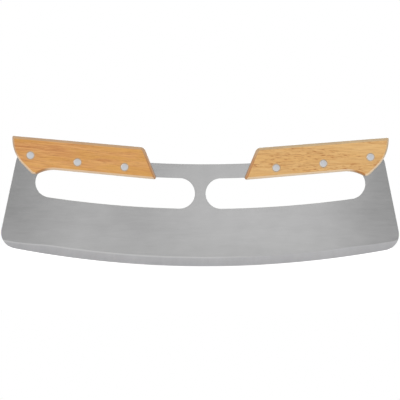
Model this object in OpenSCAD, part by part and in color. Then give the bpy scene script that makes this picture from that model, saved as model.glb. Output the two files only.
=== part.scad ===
// Rocking pizza knife: one steel plate with a curved edge and two finger slots,
// two slotted wooden handles, and six two-part flush rivets.
// X runs along the knife and Z up. The front faces -Y.
// The origin is the lowest point of the curved edge, in the middle of the plate.

/* [Blade] */
// Overall length of the blade, at its widest
blade_length = 355; // [330:1:380]
// Height of the spine over the lowest point of the edge, at the middle
blade_height = 91; // [86:1:100]
// Thickness of the steel plate
blade_thickness = 2; // [1.5:0.1:3]
// Radius of the curved cutting edge
rocker_radius = 910; // [800:10:1100]
// Radius of the hollow spine
spine_radius = 917; // [850:1:1000]
// Lean of the two sides: the plate widens downwards by this angle
side_flare = 11.7; // [8:0.1:14]
// Rounding of the two lower corners
lower_corner_radius = 14.5; // [10:0.5:18]
// Rounding of the two upper corners, under the wood
upper_corner_radius = 13; // [9:0.5:15]
// Height of the ground bevel over the edge
bevel_height = 7.5; // [4:0.5:12]
// Thickness left at the cutting edge
edge_thickness = 0.2; // [0.1:0.05:0.5]

/* [Finger slots] */
// Width of each finger slot, edge to edge
slot_width = 27.2; // [24:0.2:30]
// Height of the strip between the slots and the spine
strip_height = 12.6; // [11:0.2:16]
// Width of the pillar between the two slots
pillar_width = 9.6; // [6:0.2:20]
// Steel left between the outer end of a slot and the widest point of the blade
cheek_width = 30.4; // [24:0.2:40]

/* [Handles] */
// Thickness of each handle, front to back
handle_thickness = 18; // [16:0.5:24]
// Distance from the middle of the knife to a handle's lower inner corner
handle_inner_x = 38.6; // [30:0.2:44]
// How far the handle's outer end stands inside the widest point of the blade
handle_outer_inset = 10; // [6:0.2:12]
// How far the wood hangs over the upper edge of the finger slot
lip = 2; // [0.5:0.1:3]
// Height of the grip, square to its lower edge, at the inner end
grip_height = 27.5; // [24:0.5:31]
// Angle by which the top edge is flatter than the lower edge
grip_taper = 0.4; // [0:0.1:2]
// Lean of the inner end, off square
inner_end_lean = 22.2; // [10:0.2:30]
// How far the point at the outer end reaches past the end of the slot
point_reach = 1.2; // [0:0.1:2.5]
// How far that point hangs under the line of the lower edge
point_drop = 6.8; // [5:0.1:8.5]
// Length of the slope from the lower edge down to the point
point_run = 12; // [10:0.1:15]
// Angle of the cut that runs up from the point to the outer end
outer_cut_angle = 45; // [38:1:52]
// Rounding between that cut and the outer end
outer_round = 34; // [24:1:36]
// Rounding of the hollow in the lower edge, over the end of the slot
hollow_round = 29; // [20:1:32]
// Rounding of the lower inner corner
low_corner_round = 1.8; // [1.2:0.1:5]
// Rounding of the upper inner corner
top_corner_round = 5; // [2:0.5:8]
// Rounding of the point
point_round = 5; // [2.2:0.1:6]
// Rounding of the upper outer corner
tip_round = 1.2; // [0.5:0.1:3]
// Depth of the rounded edges, square to the front and back faces
edge_depth = 1.6; // [1:0.1:3]
// Width of the rounded edge along the top and the bottom
edge_width = 1.5; // [0.8:0.1:2.5]
// Width of the rounded edge along the outer end
outer_edge_width = 2; // [0.8:0.1:3]
// Width of the rounded edge along the inner end
inner_edge_width = 2.6; // [0.8:0.1:3.5]
// Gap on each side between the kerf in the wood and the plate
kerf_clearance = 0.05; // [0:0.01:0.2]
// Gap between the spine and the bottom of the kerf
kerf_top_clearance = 0.4; // [0.2:0.1:2]

/* [Rivets] */
// Distance along the knife from a handle's lower inner corner to its first rivet
rivet_inset = 28.9; // [24:0.1:36]
// Distance along the knife from a handle's outer end to its last rivet
rivet_outer_inset = 16.2; // [14:0.1:20]
// Distance of the rivets under the spine
rivet_drop = 5.4; // [4.5:0.1:7]
// Diameter of the flush rivet heads
head_d = 6.6; // [5.5:0.1:9]
// Thickness of a rivet head
head_thickness = 2; // [1.2:0.1:3]
// Outside diameter of the tubular shank
tube_d = 3.6; // [3.2:0.1:4.6]
// Diameter of the solid shank that is driven into it
shank_d = 2.4; // [1.6:0.1:2.8]
// How far the tubular shank stands out of the blade's front face
tube_reach = 3; // [1.5:0.5:5]
// How far the solid shank is driven into the tube
shank_grip = 7; // [4:0.5:9]
// Empty depth left in the tube behind the solid shank
tube_relief = 0.8; // [0.4:0.1:2]
// Gap around the solid shank inside the tube
drive_clearance = 0.01; // [0:0.01:0.05]
// Gap around the tubular shank in the wood
hole_clearance = 0.05; // [0.02:0.01:0.2]
// Gap around the tubular shank in the blade
blade_hole_clearance = 0.15; // [0.05:0.01:0.3]
// Gap around the heads in the wood
head_clearance = 0.04; // [0.02:0.01:0.2]

/* [Hidden] */
SIDES = ["left", "right"];
SPOTS = ["inner", "middle", "outer"];
HALVES = ["male", "female"];

long_arc_fn = 1440;
corner_fn = 96;
hole_fn = 48;
// What a cutting shape reaches past the thing it cuts
over = 1;
// The same past an arc, as a share of its radius
past_arc = 0.3;
// A round end is this much larger than one that only touches its sides, so it cuts them cleanly
proud = 0.01;

half_length = blade_length / 2;
half_blade = blade_thickness / 2;
half_handle = handle_thickness / 2;
half_slot = slot_width / 2;

// The spine, the slots and the row of rivets are arcs about one centre, high over the knife
arc_centre = [0, blade_height + spine_radius];
slot_top_radius = spine_radius + strip_height;
slot_mid_radius = slot_top_radius + half_slot;
slot_low_radius = slot_top_radius + slot_width;
rivet_arc_radius = spine_radius + rivet_drop;

// Each side of the plate is tangent to the lower corner's arc
side_normal = [cos(side_flare), sin(side_flare)];
rocker_centre = [0, rocker_radius];
lower_corner_x = half_length - lower_corner_radius;
lower_corner = [lower_corner_x, rocker_radius
    - sqrt(pow(rocker_radius - lower_corner_radius, 2) - pow(lower_corner_x, 2))];
side_distance = lower_corner * side_normal + lower_corner_radius;

// The upper corner's arc is tangent to the side and to the spine
upper_line = side_distance - upper_corner_radius - arc_centre * side_normal;
upper_fall = sqrt(pow(spine_radius + upper_corner_radius, 2) - pow(upper_line, 2));
upper_corner = arc_centre + upper_line * side_normal
    + upper_fall * [side_normal[1], -side_normal[0]];

slot_outer_x = half_length - cheek_width;
slot_ends = [for (x = [pillar_width / 2 + half_slot, slot_outer_x - half_slot])
    arc_point(slot_mid_radius, x)];

// The lower edge of the grip is a chord of an arc inside the slot, the lip's width below its top
point_x = slot_outer_x + point_reach;
hollow_x = point_x - point_run;
point_slope = atan(point_drop / point_run);
grip_start = arc_point(slot_top_radius + lip, handle_inner_x);
grip_end = arc_point(slot_top_radius + lip, hollow_x - hollow_round * tan(point_slope / 2));
grip_dir = unit(grip_end - grip_start);
top_dir = turned(grip_dir, -grip_taper);
hollow_corner = grip_start + grip_dir * ((hollow_x - grip_start[0]) / grip_dir[0]);
point_corner = grip_start + grip_dir * ((point_x - grip_start[0]) / grip_dir[0]) - [0, point_drop];
top_start = grip_start + turned(grip_dir, 90) * grip_height;
outer_x = half_length - handle_outer_inset;
inner_end_dir = [sin(inner_end_lean), cos(inner_end_lean)];
outer_cut_dir = [cos(outer_cut_angle), sin(outer_cut_angle)];
low_outer = crossing(point_corner, outer_cut_dir, [outer_x, 0], [0, 1]);
top_outer = crossing(top_start, top_dir, [outer_x, 0], [0, 1]);
top_inner = crossing(top_start, top_dir, grip_start, inner_end_dir);

// The handle's corners in order round its outline: place, rounding, steps in the arc,
// and the width of the rounded edge on the side that leaves the corner
OUTLINE = [
    [grip_start, low_corner_round, 6, edge_width],
    [hollow_corner, hollow_round, 8, edge_width],
    [point_corner, point_round, 5, outer_edge_width],
    [low_outer, outer_round, 12, outer_edge_width],
    [top_outer, tip_round, 4, edge_width],
    [top_inner, top_corner_round, 6, inner_edge_width]
];
CORNERS = len(OUTLINE);
least_round = 0.3;
// The most of a side's length that the roundings at its two ends take
rounded_share = 0.97;
edge_steps = 4;

// The rivets stand at even steps between the first and the last
first_rivet_x = handle_inner_x + rivet_inset;
last_rivet_x = outer_x - rivet_outer_inset;
rivet_step = (last_rivet_x - first_rivet_x) / (len(SPOTS) - 1);
rivet_xs = [for (i = [0:len(SPOTS) - 1]) first_rivet_x + i * rivet_step];
head_r = head_d / 2;
tube_r = tube_d / 2;
shank_r = shank_d / 2;
tube_front = -half_blade - tube_reach;
shank_back = tube_front + shank_grip;

wood_left = [0.84, 0.6, 0.34];
wood_right = [0.88, 0.72, 0.45];
steel = [0.68, 0.69, 0.7];
rivet_metal = [0.8, 0.8, 0.81];

function rivet_name(side, spot, half) = str(side, "_", spot, "_rivet_", half);
function unit(v) = v / norm(v);
function turned(v, a) = [v[0] * cos(a) - v[1] * sin(a), v[0] * sin(a) + v[1] * cos(a)];
function cross2(a, b) = a[0] * b[1] - a[1] * b[0];

// The point at x on the lower part of an arc about arc_centre
function arc_point(r, x) = [x, arc_centre[1] - sqrt(r * r - x * x)];

// Where the line through p along u meets the line through q along v
function crossing(p, u, q, v) = p + u * (cross2(q - p, v) / cross2(u, v));

// The corners after and before corner i
function next(i) = (i + 1) % CORNERS;
function before(i) = (i + CORNERS - 1) % CORNERS;

// Side i of the outline leaves corner i. It is moved inwards by its edge width times share.
function side_dir(i) = unit(OUTLINE[next(i)][0] - OUTLINE[i][0]);
function side_start(i, share) = OUTLINE[i][0] + turned(side_dir(i), 90) * OUTLINE[i][3] * share;

// The angle by which the outline turns at corner i
function turn_at(i) = let (u = side_dir(before(i)), v = side_dir(i)) atan2(cross2(u, v), u * v);

// The moved corner, and its rounding: a convex one shrinks and a hollow one grows
function moved_corner(i, share) =
    crossing(side_start(before(i), share), side_dir(before(i)), side_start(i, share), side_dir(i));
function moved_round(i, share) = let (width = (OUTLINE[i][3] + OUTLINE[before(i)][3]) / 2)
    max(least_round, OUTLINE[i][1] - sign(turn_at(i)) * width * share);

// A rounding is limited by its two sides, which each have room for the arcs at their ends
function arc_reach(i, share) = moved_round(i, share) * tan(abs(turn_at(i)) / 2);
function side_room(i, share) = let (length = norm(moved_corner(next(i), share) - moved_corner(i, share)))
    min(1, rounded_share * length / (arc_reach(i, share) + arc_reach(next(i), share)));
function fitted_round(i, share) =
    moved_round(i, share) * min(side_room(i, share), side_room(before(i), share));

// The arc at one corner, from one side to the next
function corner_arc(i, share) = let (
        turn = turn_at(i),
        u = side_dir(before(i)),
        r = fitted_round(i, share) * sign(turn),
        start = moved_corner(i, share) - u * r * tan(turn / 2),
        centre = start + turned(u, 90) * r,
        steps = OUTLINE[i][2]
    )
    [for (k = [0:steps]) centre + turned(start - centre, turn * k / steps)];
function outline_points(share) = [for (i = [0:CORNERS - 1]) each corner_arc(i, share)];

// The rounded edge is a quarter of an ellipse, from the face to the side. Step 0 lies before
// the face by as much as step 2 lies behind it, so that the face's plane cuts through the facet.
function edge_ring(k) = let (a = 90 * abs(k - 1) / edge_steps, s = sign(k - 1))
    [1 - s * sin(a), half_handle - s * edge_depth * (1 - cos(a))];

// Rings from the front round to the back: how far they are moved inwards, and their depth
function ring_steps() = concat(
    [for (k = [0:edge_steps + 1]) [edge_ring(k)[0], -edge_ring(k)[1]]],
    [for (k = [edge_steps + 1:-1:0]) edge_ring(k)]
);

// The right handle's rounded sides, as rings of points joined by triangles, thicker than the handle
module rounded_sides() {
    rings = ring_steps();
    points = [for (ring = rings) each [for (p = outline_points(ring[0])) [p[0], ring[1], p[1]]]];
    count = len(outline_points(0));
    last = len(rings) - 1;
    walls = [for (r = [0:last - 1], k = [0:count - 1])
        let (a = r * count + k, b = r * count + (k + 1) % count)
        each [[a, b + count, b], [a, a + count, b + count]]];
    front = [[for (k = [0:count - 1]) count - 1 - k]];
    back = [[for (k = [0:count - 1]) last * count + k]];
    polyhedron(points, concat(walls, front, back));
}

// The right handle's outside: the rounded sides between two flat faces
module handle_block() {
    intersection() {
        rounded_sides();
        translate([0, -half_handle, 0]) cube([half_length, handle_thickness, arc_centre[1]]);
    }
}

// A flat shape drawn in X and Z, made thick about the middle plane of the plate
module slab(thickness) {
    rotate([90, 0, 0]) linear_extrude(thickness, center = true) children();
}

// A round bar along Y between two depths
module bar(r, from, to) {
    translate([0, to, 0]) rotate([90, 0, 0]) cylinder(r = r, h = to - from, $fn = hole_fn);
}

module at_rivet(i) {
    p = arc_point(rivet_arc_radius, rivet_xs[i]);
    translate([p[0], 0, p[1]]) children();
}

module both_sides() {
    children();
    mirror([1, 0, 0]) children();
}

module on_side(side) {
    if (side == "left") mirror([1, 0, 0]) children();
    else children();
}

// What lies outside a corner's arc. u and v point from its centre to the two tangent points,
// and the kite drawn along them reaches past both sides.
module corner_waste(centre, r, u, v) {
    far = r * (1 + past_arc);
    tip = (u + v) / (1 + u * v);
    difference() {
        polygon([centre, centre + far * u, centre + far * tip, centre + far * v]);
        translate(centre) circle(r + proud, $fn = corner_fn);
    }
}

// Half the width of the plate at height z, along the line of its sides
function side_x(z) = (side_distance - z * side_normal[1]) / side_normal[0];

// One finger slot: a bent band with round ends
module finger_slot() {
    intersection() {
        difference() {
            translate(arc_centre) circle(slot_low_radius, $fn = long_arc_fn);
            translate(arc_centre) circle(slot_top_radius, $fn = long_arc_fn);
        }
        polygon(concat([arc_centre], [for (p = slot_ends) arc_centre + (1 + past_arc) * (p - arc_centre)]));
    }
    for (p = slot_ends) translate(p) circle(half_slot + proud, $fn = corner_fn);
}

// The plate's outline without its curved edge, which the ground disc gives
module blade_outline() {
    top = arc_centre[1] - spine_radius * cos(asin(half_length / spine_radius)) + over;
    difference() {
        polygon([[-side_x(-over), -over], [side_x(-over), -over], [side_x(top), top], [-side_x(top), top]]);
        translate(arc_centre) circle(spine_radius, $fn = long_arc_fn);
        both_sides() {
            corner_waste(lower_corner, lower_corner_radius, side_normal, unit(lower_corner - rocker_centre));
            corner_waste(upper_corner, upper_corner_radius, side_normal, unit(arc_centre - upper_corner));
            finger_slot();
        }
    }
}

// A disc as thick as the plate, ground from both faces to the cutting edge.
// It stands on the lowest point of the edge.
module ground_disc() {
    land = edge_thickness / 2;
    bevel_start = rocker_radius - bevel_height;
    section = [[0, -half_blade], [bevel_start, -half_blade], [rocker_radius, -land],
        [rocker_radius, land], [bevel_start, half_blade], [0, half_blade]];
    translate([0, 0, rocker_radius]) rotate([90, 0, 0])
        rotate_extrude($fn = long_arc_fn) polygon(section);
}

module blade() {
    color(steel) difference() {
        intersection() {
            slab(blade_thickness + 2 * over) blade_outline();
            ground_disc();
        }
        both_sides() for (i = [0:len(SPOTS) - 1])
            at_rivet(i) bar(tube_r + blade_hole_clearance, -half_blade - over, half_blade + over);
    }
}

// The saw cut that the blade's strip sits in: all that lies under the spine, with a gap
module kerf() {
    slab(blade_thickness + 2 * kerf_clearance) difference() {
        translate([0, grip_start[1] - point_drop]) square([half_length, blade_height]);
        translate(arc_centre) circle(spine_radius - kerf_top_clearance, $fn = long_arc_fn);
    }
}

// The stepped hole for one rivet: a seat for each head and a bore for the shank
module rivet_hole() {
    bar(tube_r + hole_clearance, -half_handle - over, half_handle + over);
    bar(head_r + head_clearance, -half_handle - over, -half_handle + head_thickness);
    bar(head_r + head_clearance, half_handle - head_thickness, half_handle + over);
}

module handle(side) {
    on_side(side) difference() {
        handle_block();
        kerf();
        for (i = [0:len(SPOTS) - 1]) at_rivet(i) rivet_hole();
    }
}

module left_handle() {
    color(wood_left) handle("left");
}

module right_handle() {
    color(wood_right) handle("right");
}

// The half that comes from the front: a flush head and a solid shank
module rivet_male() {
    color(rivet_metal) {
        bar(head_r, -half_handle, -half_handle + head_thickness);
        bar(shank_r, -half_handle + head_thickness, shank_back);
    }
}

// The half that comes from the back: a flush head and a tube that grips the solid shank
module rivet_female() {
    color(rivet_metal) difference() {
        union() {
            bar(head_r, half_handle - head_thickness, half_handle);
            bar(tube_r, tube_front, half_handle - head_thickness);
        }
        bar(shank_r + drive_clearance, tube_front - over, shank_back + tube_relief);
    }
}

module rivet(side, i, half) {
    on_side(side) at_rivet(i) {
        if (half == "male") rivet_male();
        else rivet_female();
    }
}

blade();
left_handle();
right_handle();
for (side = SIDES, i = [0:len(SPOTS) - 1], half = HALVES)
    rivet(side, i, half);
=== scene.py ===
# Rocking pizza knife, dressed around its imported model.
# X runs along the knife, Z is up and the front faces -Y.
# The dictionaries give millimetres and degrees, the meshes are in metres, and colours are plain sRGB numbers.
import math

import bpy
import numpy as np
from mathutils import Matrix, Vector
from mathutils.geometry import delaunay_2d_cdt


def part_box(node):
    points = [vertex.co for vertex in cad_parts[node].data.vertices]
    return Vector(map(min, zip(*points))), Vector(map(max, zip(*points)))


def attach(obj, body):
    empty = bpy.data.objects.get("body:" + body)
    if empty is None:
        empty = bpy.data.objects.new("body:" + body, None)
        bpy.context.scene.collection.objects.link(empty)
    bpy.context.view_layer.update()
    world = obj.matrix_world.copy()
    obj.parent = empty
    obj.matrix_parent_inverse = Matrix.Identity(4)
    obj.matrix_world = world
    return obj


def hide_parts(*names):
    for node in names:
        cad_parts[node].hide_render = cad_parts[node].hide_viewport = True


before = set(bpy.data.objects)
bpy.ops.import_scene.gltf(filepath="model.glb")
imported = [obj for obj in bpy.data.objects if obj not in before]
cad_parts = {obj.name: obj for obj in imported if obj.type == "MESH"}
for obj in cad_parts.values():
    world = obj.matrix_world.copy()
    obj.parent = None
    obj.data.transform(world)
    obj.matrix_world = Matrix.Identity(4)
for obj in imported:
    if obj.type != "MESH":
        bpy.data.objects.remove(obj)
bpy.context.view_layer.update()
mm = 0.001
sides = {"left": -1, "right": 1}
spots = ["inner", "middle", "outer"]


# The middle of a node's box, in millimetres
def middleOf(node):
    low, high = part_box(node)
    return np.array((low + high) / 2) / mm


def linkNew(name, data):
    made = bpy.data.objects.new(name, data)
    bpy.context.scene.collection.objects.link(made)
    return made


# Camera, square to the front as in the photograph

photoView = {
    "distance": 3000,           # from the blade
    "width": 356.88,            # what the picture's width covers at the blade
    "middle": (-0.2, 59.16),    # x and z in the picture's middle
    "roll": 0.286,
    "sensor": 36,
    "clipEnd": 20,              # metres
}


def placeCamera():
    lens = bpy.data.cameras.new("photoCamera")
    lens.sensor_width = photoView["sensor"]
    lens.lens = photoView["sensor"] * photoView["distance"] / photoView["width"]
    lens.clip_end = photoView["clipEnd"]
    camera = linkNew("photoCamera", lens)
    x, z = photoView["middle"]
    upright = Matrix.Rotation(math.radians(90), 4, "X")
    rolled = Matrix.Rotation(-math.radians(photoView["roll"]), 4, "Y")
    place = Matrix.Translation((x * mm, -photoView["distance"] * mm, z * mm))
    camera.matrix_world = place @ rolled @ upright
    bpy.context.scene.camera = camera


placeCamera()
print("camera placed")


# Flat outlines. An outline is a pair of arrays: points in x and z, and the unit normals out of the material.

# Points on an arc are centre + radius * (cos a, sin a) at even steps of the angle a. The normals point
# away from the centre, or towards it where outwards is -1.
def arc(centre, radius, start, end, steps, outwards=1):
    angle = np.radians(np.linspace(start, end, steps + 1))
    ray = np.stack([np.cos(angle), np.sin(angle)], axis=1)
    return np.asarray(centre) + radius * ray, outwards * ray


# The sines of a quarter turn in even steps, and one less its cosines
def quarterTurn(steps):
    angle = np.radians(np.linspace(0, 90, steps + 1))
    return np.sin(angle), 1 - np.cos(angle)


def headingOf(vector):
    return math.degrees(math.atan2(vector[1], vector[0]))


def heading(degrees):
    return np.array([math.cos(math.radians(degrees)), math.sin(math.radians(degrees))])


# Pieces of an outline one after another. Each piece's last point is the next one's first, so it is left out.
def joined(pieces):
    return tuple(np.concatenate([piece[part][:-1] for piece in pieces]) for part in (0, 1))


# Points of the other side, in the order that keeps the material on their left
def flipped(points):
    return points[..., ::-1, :] * (-1, 1)


def mirrored(outline):
    return tuple(flipped(part) for part in outline)


# The point at x on the lower side of a circle
def lowOn(centre, radius, x):
    return np.array([x, centre[1] - math.sqrt(radius ** 2 - x ** 2)])


# Meshes

def addMesh(name, points, faces, uv=None):
    mesh = bpy.data.meshes.new(name)
    mesh.from_pydata((np.asarray(points) * mm).tolist(), [], faces)
    if uv is not None:
        layer = mesh.uv_layers.new(name="surface")
        layer.data.foreach_set("uv", np.asarray(uv, dtype=np.float32).ravel())
    mesh.validate()
    mesh.update()
    return linkNew(name, mesh)


# Quads between the rows of a closed band of points. Rows run from the front to the back and the points
# of a row run round with the material on their left, so the quads face outwards.
def bandFaces(rows, count, first=0):
    row, column = np.meshgrid(np.arange(rows - 1), np.arange(count), indexing="ij")
    here = first + row * count + column
    ahead = first + row * count + (column + 1) % count
    return np.stack([here, here + count, ahead + count, ahead], axis=-1).reshape(-1, 4)


# A solid from closed rings of points, with a flat face on the first and on the last
def ringSolid(name, rings):
    rows, count = rings.shape[:2]
    order = np.arange(count)
    caps = [order.tolist(), ((rows - 1) * count + order[::-1]).tolist()]
    return addMesh(name, rings.reshape(-1, 3), bandFaces(rows, count).tolist() + caps)


shading = {
    "sharpFrom": 35,        # edges that turn more than this are sharp
    "faceWeight": 80,       # how far wide faces rule the normals
}


# Smooth shading with sharp edges past an angle. The weighted normals keep the wide flat faces flat.
def smoothPiece(piece):
    piece.data.shade_smooth()
    piece.data.set_sharp_from_angle(angle=math.radians(shading["sharpFrom"]))
    weighted = piece.modifiers.new("flatFaces", "WEIGHTED_NORMAL")
    weighted.keep_sharp = True
    weighted.weight = shading["faceWeight"]


# Blade

bladeShape = {
    "rocker": 910,          # radius of the curved edge
    "spine": 917,           # radius of the hollow back
    "flare": 11.7,          # lean of the two ends
    "lowerCorner": 14.5,    # radii
    "upperCorner": 13,
    "bevel": 7.8,           # height of the ground bevel
    "bevelFalls": {"left": 2.7, "right": 1.3},  # how much lower it is at the two ends
    "fallRun": (130, 173),  # from where to where along the edge it falls
    "edge": 0.2,            # thickness left at the cutting edge
    "shoulder": 0.7,        # width over which the flat turns into the bevel
    "shoulderLines": 5,
    "slotWidth": 27.2,
    "strip": 12.6,          # steel between the slots and the back
    "pillar": 9.6,
    "cheek": 30.4,          # steel past the outer end of a slot
    "rivetHole": 1.95,      # radius
    "brokenEdge": 0.22,     # radius of the tumbled edges
    "brokenSteps": 4,
    "arcStep": 3,           # length of a step along the long arcs
    "cornerSteps": 24,
    "holeSteps": 40,
}
halfLength, halfPlate = np.array(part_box("blade")[1])[:2] / mm


# Where the blade's arcs have their centres. The two corners touch the arcs and sides next to them.
def bladeCentres(shape):
    side = heading(shape["flare"])
    rocker = np.array([0, shape["rocker"]])
    r = shape["lowerCorner"]
    lower = lowOn(rocker, shape["rocker"] - r, halfLength - r)
    reach = lower @ side + r
    spine = np.array([0, bladeTop(shape) + shape["spine"]])
    r = shape["upperCorner"]
    along = reach - r - spine @ side
    fall = math.sqrt((shape["spine"] + r) ** 2 - along ** 2)
    upper = spine + along * side + fall * np.array([side[1], -side[0]])
    return {"rocker": rocker, "lower": lower, "spine": spine, "upper": upper}


# Height of the hollow back at the middle, from the highest of the steel's vertices between the two inner
# rivets
def bladeTop(shape):
    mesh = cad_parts["blade"].data
    points = np.zeros(len(mesh.vertices) * 3)
    mesh.vertices.foreach_get("co", points)
    points = points.reshape(-1, 3) / mm
    near = points[np.abs(points[:, 0]) < middleOf("right_inner_rivet_male")[0]]
    x, _, z = near[np.argmax(near[:, 2])]
    return z - (shape["spine"] - math.sqrt(shape["spine"] ** 2 - x ** 2))


# The angle on a corner's arc at which it is a given distance from the rocker's centre
def angleAt(corner, radius, centre, distance):
    offset = corner - centre
    far = np.linalg.norm(offset)
    turn = math.degrees(math.acos((distance ** 2 - far ** 2 - radius ** 2) / (2 * far * radius)))
    return headingOf(offset) + turn


# The right half, from the middle of the edge round to the middle of the back: arcs about the four centres
# and a straight side. The lower corner gets a point at each of the shoulders' distances from the rocker's
# centre, and their places in the outline are returned with it.
def halfOutline(shape, centres, shoulders):
    low, up = centres["lower"], centres["upper"]
    toLower = headingOf(low - centres["rocker"])
    toSpine = headingOf(centres["spine"] - up)
    spineEnd = headingOf(up - centres["spine"])
    inner = shape["lowerCorner"] - shape["brokenEdge"]
    angles = [angleAt(low, inner, centres["rocker"], r) for r in shoulders]
    longSteps, firstSteps = int(halfLength / shape["arcStep"]), shape["cornerSteps"] // 2
    half = [arc(centres["rocker"], shape["rocker"], -90, toLower, longSteps)]
    steps = [firstSteps] + [1] * (len(angles) - 1) + [shape["cornerSteps"]]
    for start, end, count in zip([toLower] + angles, angles + [shape["flare"]], steps):
        half.append(arc(low, shape["lowerCorner"], start, end, count))
    # The straight side needs only its two ends
    side = heading(shape["flare"])
    sidePoints = np.array([low + shape["lowerCorner"] * side, up + shape["upperCorner"] * side])
    half.append((sidePoints, np.array([side, side])))
    half.append(arc(up, shape["upperCorner"], shape["flare"], toSpine, shape["cornerSteps"]))
    half.append(arc(centres["spine"], shape["spine"], spineEnd, -90, longSteps, -1))
    topMiddle = arc(centres["spine"], shape["spine"], -90, -90, 1, -1)
    outline = tuple(np.concatenate([a, b[:1]]) for a, b in zip(joined(half), topMiddle))
    return outline, longSteps + firstSteps + np.arange(len(angles))


# The whole outline, with points where the shoulder's lines meet it. The bevel's height at the two ends
# isn't the same, so each half is made for itself.
def bladeOutline(shape, centres, offsets):
    shoulder = shape["rocker"] - shape["bevel"] + offsets
    (left, _), (right, stops) = (
        halfOutline(shape, centres, shoulder + shape["bevelFalls"][side]) for side in sides)
    leftHalf = tuple(part[1:-1] for part in mirrored(left))
    return tuple(np.concatenate([a, b]) for a, b in zip(right, leftHalf)), stops


# A slot is a bent band between two arcs about the spine's centre, with a half circle at each end.
# It runs clockwise, so that the steel is on its left.
def slotOutline(shape, centres):
    centre = centres["spine"]
    r = shape["slotWidth"] / 2
    top = shape["spine"] + shape["strip"]
    ends = [lowOn(centre, top + r, x)
            for x in (shape["pillar"] / 2 + r, halfLength - shape["cheek"] - r)]
    inner, outer = (headingOf(end - centre) for end in ends)
    steps = int((ends[1] - ends[0])[0] / shape["arcStep"])
    counter = joined([
        arc(centre, top + 2 * r, inner, outer, steps, -1),
        arc(ends[1], r, outer, outer + 180, shape["cornerSteps"] * 2, -1),
        arc(centre, top, outer, inner, steps),
        arc(ends[0], r, inner + 180, inner + 360, shape["cornerSteps"] * 2, -1),
    ])
    return tuple(part[::-1] for part in counter)


# The bevel's height along the edge. It falls by s^2 (3 - 2 s) of the given falls, where s is the share of
# the run, and rays count from the rocker's centre.
def bevelHeight(shape, rays):
    along = shape["rocker"] * np.arctan2(rays[..., 0], -rays[..., 1])
    near, far = shape["fallRun"]
    share = np.clip((np.abs(along) - near) / (far - near), 0, 1)
    falls = np.where(along < 0, shape["bevelFalls"]["left"], shape["bevelFalls"]["right"])
    return shape["bevel"] - falls * share ** 2 * (3 - 2 * share)


# Half of the plate's thickness: full on the flat, then falling evenly to the edge. Over the width of the
# shoulder the slope grows evenly from none to full.
def halfThickness(shape, rays):
    height = bevelHeight(shape, rays)
    slope = (halfPlate - shape["edge"] / 2) / height
    past = np.linalg.norm(rays, axis=-1) - shape["rocker"] + height
    width = shape["shoulder"]
    share = np.clip(past / width + 0.5, 0, 1)
    return halfPlate - slope * (width * share ** 2 / 2 + np.maximum(past - width / 2, 0))


# The plate's edges are broken by a quarter circle: at an inset d from the wall, the face lies
# r - sqrt(r^2 - (r - d)^2) lower. Where the plate is thin, r is at most a quarter of its thickness.
def brokenFall(radius, inset, half):
    r = np.minimum(radius, half / 2)
    short = np.clip(r - inset, 0, None)
    return r - np.sqrt(r ** 2 - short ** 2)


# Points inside one ring and outside the rings within it: a line from such a point to the right crosses
# the rings an odd number of times
def withinRings(points, rings):
    start = np.concatenate(rings)
    run, rise = (np.concatenate([np.roll(ring, -1, axis=0) for ring in rings]) - start).T
    x, z = points[:, :1], points[:, 1:]
    spans = (start[:, 1] > z) != (start[:, 1] + rise > z)
    crossingX = start[:, 0] + (z - start[:, 1]) * run / np.where(rise == 0, 1, rise)
    return (spans & (crossingX > x)).sum(axis=1) % 2 == 1


# The outline, the two finger slots and the six rivet holes, each with the steel on its left
def bladeLoops(shape, centres, offsets):
    outer, stops = bladeOutline(shape, centres, offsets)
    slot = slotOutline(shape, centres)
    loops = [outer, slot, mirrored(slot)]
    for side in sides:
        for spot in spots:
            x, _, z = middleOf(f"{side}_{spot}_rivet_male")
            loops.append(joined([arc((x, z), shape["rivetHole"], 360, 0, shape["holeSteps"], -1)]))
    return loops, stops


# The wall along each loop, from the front face to the back one, with both its edges broken. A rim is the
# wall's first ring, with its vertices' numbers on the front and on the back.
def bladeWalls(shape, centres, loops):
    insets = shape["brokenEdge"] * quarterTurn(shape["brokenSteps"])[1][::-1]
    rowInsets = np.concatenate([insets, insets[::-1]])
    rowSides = np.repeat([-1, 1], len(insets))
    points, faces, rims, count = [], [], [], 0
    for loopPoints, normals in loops:
        flat = loopPoints - rowInsets[:, None, None] * normals
        half = halfThickness(shape, flat - centres["rocker"])
        half = half - brokenFall(shape["brokenEdge"], rowInsets[:, None], half)
        band = np.stack([flat[..., 0], rowSides[:, None] * half, flat[..., 1]], axis=-1)
        rows, length = band.shape[:2]
        faces += bandFaces(rows, length, count).tolist()
        front = count + np.arange(length)
        rims.append((flat[0], front, front + (rows - 1) * length))
        points.append(band.reshape(-1, 3))
        count += rows * length
    return points, faces, rims


# A line of points along the shoulder, between two of the outline's own points and without them
def shoulderLine(shape, centre, ends, offset):
    headings = [headingOf(end - centre) for end in ends]
    rays = arc((0, 0), 1, *headings, int(2 * halfLength / shape["arcStep"]))[0][1:-1]
    return centre + rays * (shape["rocker"] - bevelHeight(shape, rays) + offset)[:, None]


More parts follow.
